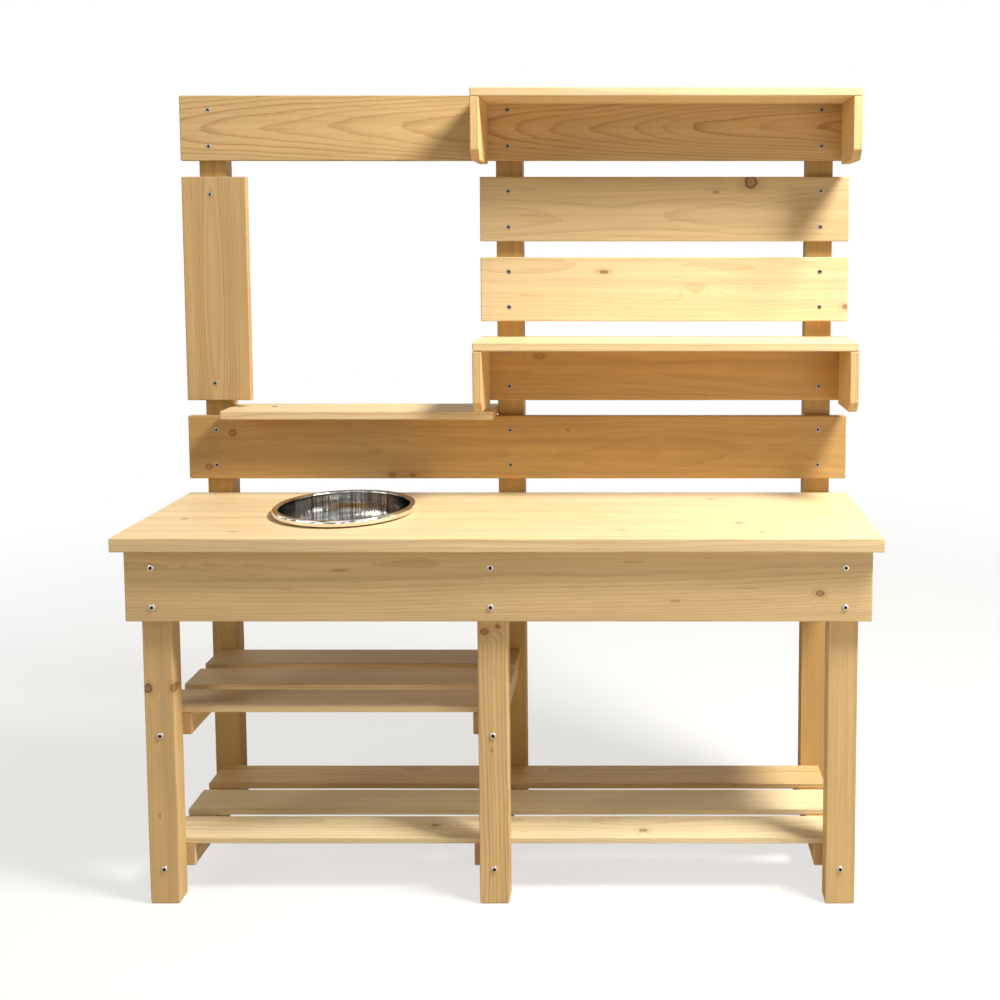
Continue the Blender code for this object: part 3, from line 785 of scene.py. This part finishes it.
def bowl():
    """The polished bowl: a flat base, round corners, upright sides and a rim turned out and down."""
    low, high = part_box("bowl")
    middle = (low + high) / 2
    rim = (high.x - low.x) / 2 - SHEET / 2
    mouth = rim - MOUTH_INSET + SHEET / 2
    base = SHEET / 2
    top = high.z - low.z - SHEET / 2
    wall = top - RIM_BEND - base - BASE_BEND
    lip = RIM_HEIGHT - RIM_BEND - SHEET - HEM_BEND - FOOT_DROP
    foot = top - RIM_HEIGHT + SHEET
    line = [(0.0, base), (0.012, base), (0.03, base)]
    line += quarter((mouth - BASE_BEND, base + BASE_BEND), BASE_BEND, -1, 1, 14)
    line += [(mouth, base + BASE_BEND + wall * share) for share in (0.15, 0.35, 0.55, 0.75, 0.9)]
    line += quarter((mouth + RIM_BEND, top - RIM_BEND), RIM_BEND, 2, -1)
    line += quarter((rim - RIM_BEND, top - RIM_BEND), RIM_BEND, 1, -1)
    line += [(rim, top - RIM_BEND - lip * share) for share in (0.3, 0.7)]
    line += quarter((rim - HEM_BEND, top - RIM_BEND - lip), HEM_BEND, 0, -1)
    line.append((rim - FOOT_INSET + SHEET, foot + FOOT_DROP))
    line += [(rim - FOOT_INSET, foot + FOOT_DROP / 2), (rim - FOOT_INSET, foot)]
    mesh = turned_mesh("bowl_polished", sheet_outline(line, SHEET), BOWL_SEGMENTS)
    place = Vector((middle.x, middle.y, low.z))
    piece = place_piece("bowl_polished", mesh, Matrix.Identity(3), place, polished_material(mouth), weighted=False)
    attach(piece, BOWL)
    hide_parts("bowl")


def recess_cutter(radius, height, depth):
    """An eight-sided plug that narrows with depth, for a screw's drive recess."""
    reach = radius * RECESS_REACH
    width = radius * RECESS_WIDTH
    side = (Vector((reach, -width)), Vector((reach, width)))
    outline = [Matrix.Rotation(turn * math.pi / 2, 2) @ point for turn in range(4) for point in side]
    shape = bmesh.new()
    rings = []
    for level, share in ((height - depth, 0.50), (height + depth, 1.5)):
        rings.append([shape.verts.new((*(point * share), level)) for point in outline])
    count = len(outline)
    for index in range(count):
        after = (index + 1) % count
        shape.faces.new((rings[0][index], rings[0][after], rings[1][after], rings[1][index]))
    for ring in rings:
        shape.faces.new(ring)
    bmesh.ops.recalc_face_normals(shape, faces=shape.faces)
    cutter = bpy.data.objects.new("recess", mesh_of("recess", shape))
    bpy.context.scene.collection.objects.link(cutter)
    return cutter


def screw_mesh(name, radius, height, plating, shadowed):
    """A screw along its own Z axis: a flat head with a round edge and a drive recess, threads and a point."""
    turns = [math.pi / 2 * step / 6 for step in range(7)]
    flat = radius * 0.55
    outline = [(0.0, height)]
    outline += [(flat + (radius - flat) * math.sin(turn), height * math.cos(turn)) for turn in turns]
    outline += [(radius * 0.97, -0.0002), (SHANK_RADIUS, -0.0024)]
    count = int((SCREW_LENGTH - 0.008) / THREAD_PITCH)
    for number in range(count):
        taper = min(1.0, (count - number) / 4)
        root = -0.006 - number * THREAD_PITCH
        outline += [(SHANK_RADIUS * 0.75 * taper, root), (SHANK_RADIUS * taper, root - THREAD_PITCH / 2)]
    outline.append((0.0, -SCREW_LENGTH))
    blank = bpy.data.objects.new("screw_blank", turned_mesh(name, outline, HEAD_SEGMENTS))
    bpy.context.scene.collection.objects.link(blank)
    depth = min(RECESS_DEPTH, height * 0.85)
    finished = cut_away(blank, recess_cutter(radius, height, depth))
    bpy.data.objects.remove(blank)
    finished.set_sharp_from_angle(angle=math.radians(38))
    finished.materials.clear()
    finished.materials.append(plating)
    finished.materials.append(shadowed)
    # Faces inside the drive recess take the second material, a near-black painted shade
    for face in finished.polygons:
        sunk = height - face.center.z
        in_recess = face.center.xy.length < radius * RECESS_REACH and 0.00005 < sunk < depth + 0.0001
        face.material_index = 1 if in_recess else 0
    return finished


def screw(name, mesh, head, out, node=None):
    """One screw with its head's seat at a point, facing out."""
    spin = Matrix.Rotation(random.Random(name).uniform(0, math.pi / 2), 3, "Z")
    turned = Matrix((ACROSS, out.cross(ACROSS), out)).transposed() @ spin
    piece = bpy.data.objects.new(name, mesh)
    bpy.context.scene.collection.objects.link(piece)
    piece.matrix_world = Matrix.Translation(head) @ turned.to_4x4()
    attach(piece, BENCH)
    if node:
        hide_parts(node)


def screws():
    """The CAD's screws with drive recesses, and the rows that hold the shorter boards."""
    zinc = steel_material("screw_zinc", (0.72, 0.70, 0.66), (0.24, 0.14))
    dull_zinc = steel_material("screw_dull_zinc", (0.38, 0.35, 0.30), (0.34, 0.16))
    # Near-black painted shade for the drive recesses, darker than the zinc itself
    shadowed = steel_material("screw_recess", (0.035, 0.030, 0.024), (0.60, 0.20))
    proud = screw_mesh("screw", HEAD_RADIUS, HEAD_HEIGHT, zinc, shadowed)
    flush = screw_mesh("flush_screw", FLUSH_RADIUS, FLUSH_HEIGHT, dull_zinc, shadowed)
    for node in sorted(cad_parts):
        if "_screw_" in node:
            low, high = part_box(node)
            mesh = flush if node.startswith("back_") else proud
            head = Vector(((low.x + high.x) / 2, low.y + HEAD_HEIGHT, (low.z + high.z) / 2))
            screw(f"{node}_zinc", mesh, head, OUT, node)
    for board in (2, 3, 4):
        low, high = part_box(f"back_board_{board}")
        for place in ("middle", "right"):
            post_low, post_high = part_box(f"{place}_post")
            for row, height in (("upper", high.z - ROW_INSET), ("lower", low.z + ROW_INSET)):
                head = Vector(((post_low.x + post_high.x) / 2, low.y, height))
                screw(f"back_screw_{board}_{place}_{row}", flush, head, OUT)
    low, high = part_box("upright_board")
    post_low, post_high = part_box("left_post")
    for row, height in (("upper", high.z - UPRIGHT_ROW_INSET), ("lower", low.z + UPRIGHT_ROW_INSET)):
        head = Vector(((post_low.x + post_high.x) / 2, low.y, height))
        screw(f"upright_screw_{row}", flush, head, OUT)
    low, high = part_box("window_ledge")
    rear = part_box("back_board_5")[0].y
    for place, share in LEDGE_SCREW_SHARES:
        head = Vector((low.x + (high.x - low.x) * share, rear + LEDGE_SCREW_DEPTH, high.z))
        screw(f"ledge_screw_{place}", flush, head, UP)


# ---------------------------------------------------------------- stage


def floor():
    """A plain pale floor that fades out far from the bench."""
    shape = bmesh.new()
    bmesh.ops.create_circle(shape, cap_ends=True, segments=96, radius=FLOOR_RADIUS)
    mesh = mesh_of("floor", shape)
    material = bpy.data.materials.new("pale_floor")
    material.use_nodes = True
    tree = Tree(material.node_tree)
    shader = material.node_tree.nodes["Principled BSDF"]
    point = tree.add("ShaderNodeTexCoord").outputs["Object"]
    grain = tree.noise(point, (3.0, 3.0, 3.0), 0.0, 4.0)["Fac"]
    seen = tree.add("ShaderNodeLightPath").outputs["Is Camera Ray"]
    pale = tree.mix(grain, (0.30, 0.30, 0.29, 1.0), (0.34, 0.34, 0.33, 1.0))
    tree.feed(shader, "Base Color", tree.mix(seen, (0.56, 0.50, 0.42, 1.0), pale))
    tree.feed(shader, "Roughness", 0.9)
    tree.feed(shader, "Alpha", tree.step(tree.vector("LENGTH", point), 2.6, 0.9))
    tree.feed(shader, "Emission Color", (1.0, 1.0, 1.0, 1.0))
    tree.feed(shader, "Emission Strength", tree.math("MULTIPLY", seen, 0.66))
    mesh.materials.append(material)
    piece = bpy.data.objects.new("floor", mesh)
    bpy.context.scene.collection.objects.link(piece)


def surroundings():
    """A plain white backdrop, and for the light on the bench a dim warm room with a few paler bands."""
    world = bpy.data.worlds.new("studio")
    bpy.context.scene.world = world
    world.use_nodes = True
    tree = Tree(world.node_tree)
    background = world.node_tree.nodes["Background"]
    direction = tree.add("ShaderNodeTexCoord").outputs["Generated"]
    _, deep, height = tree.split(direction)
    room = tree.mix(tree.step(height, -0.25, 0.15), ROOM_BELOW, ROOM_FRONT)
    room = tree.mix(tree.step(deep, -0.15, 0.60), room, ROOM_BEHIND)
    bands = tree.noise(direction, (4.0, 4.0, 0.6), 3.0, 3.0)["Fac"]
    room = tree.vector("SCALE", room, tree.step(bands, 0.40, 0.62, 0.55, 1.55))
    path = tree.add("ShaderNodeLightPath").outputs
    windows = tree.vector("SCALE", (0.82, 0.82, 0.80), tree.step(bands, 0.47, 0.56, 0.09, 2.1))
    room = tree.mix(path["Is Glossy Ray"], room, windows)
    tree.feed(background, "Color", tree.mix(path["Is Camera Ray"], room, (1.0, 1.0, 1.0, 1.0)))
    background.inputs["Strength"].default_value = 1.0


def lamp(name, place, aim, size, power, tone):
    """A square lamp that faces a point."""
    light = bpy.data.lights.new(name, "AREA")
    light.size = size
    light.energy = power
    light.color = tone
    made = bpy.data.objects.new(name, light)
    bpy.context.scene.collection.objects.link(made)
    made.location = place
    made.rotation_euler = (Vector(aim) - Vector(place)).to_track_quat("-Z", "Y").to_euler()


def camera():
    """A camera level with the back boards and right of centre, dipped a little."""
    view = bpy.data.cameras.new("camera")
    view.lens = CAMERA_LENS
    view.sensor_width = 36.0
    view.shift_x, view.shift_y = CAMERA_SHIFT
    made = bpy.data.objects.new("camera", view)
    bpy.context.scene.collection.objects.link(made)
    made.location = CAMERA_PLACE
    made.rotation_euler = (math.pi / 2 - CAMERA_DIP, 0.0, 0.0)
    bpy.context.scene.camera = made


def stage():
    """The floor, the light and the camera."""
    floor()
    surroundings()
    for one in LAMPS:
        lamp(*one)
    camera()
    bpy.context.scene.view_settings.view_transform = "Standard"


timber()
bowl()
screws()
stage()
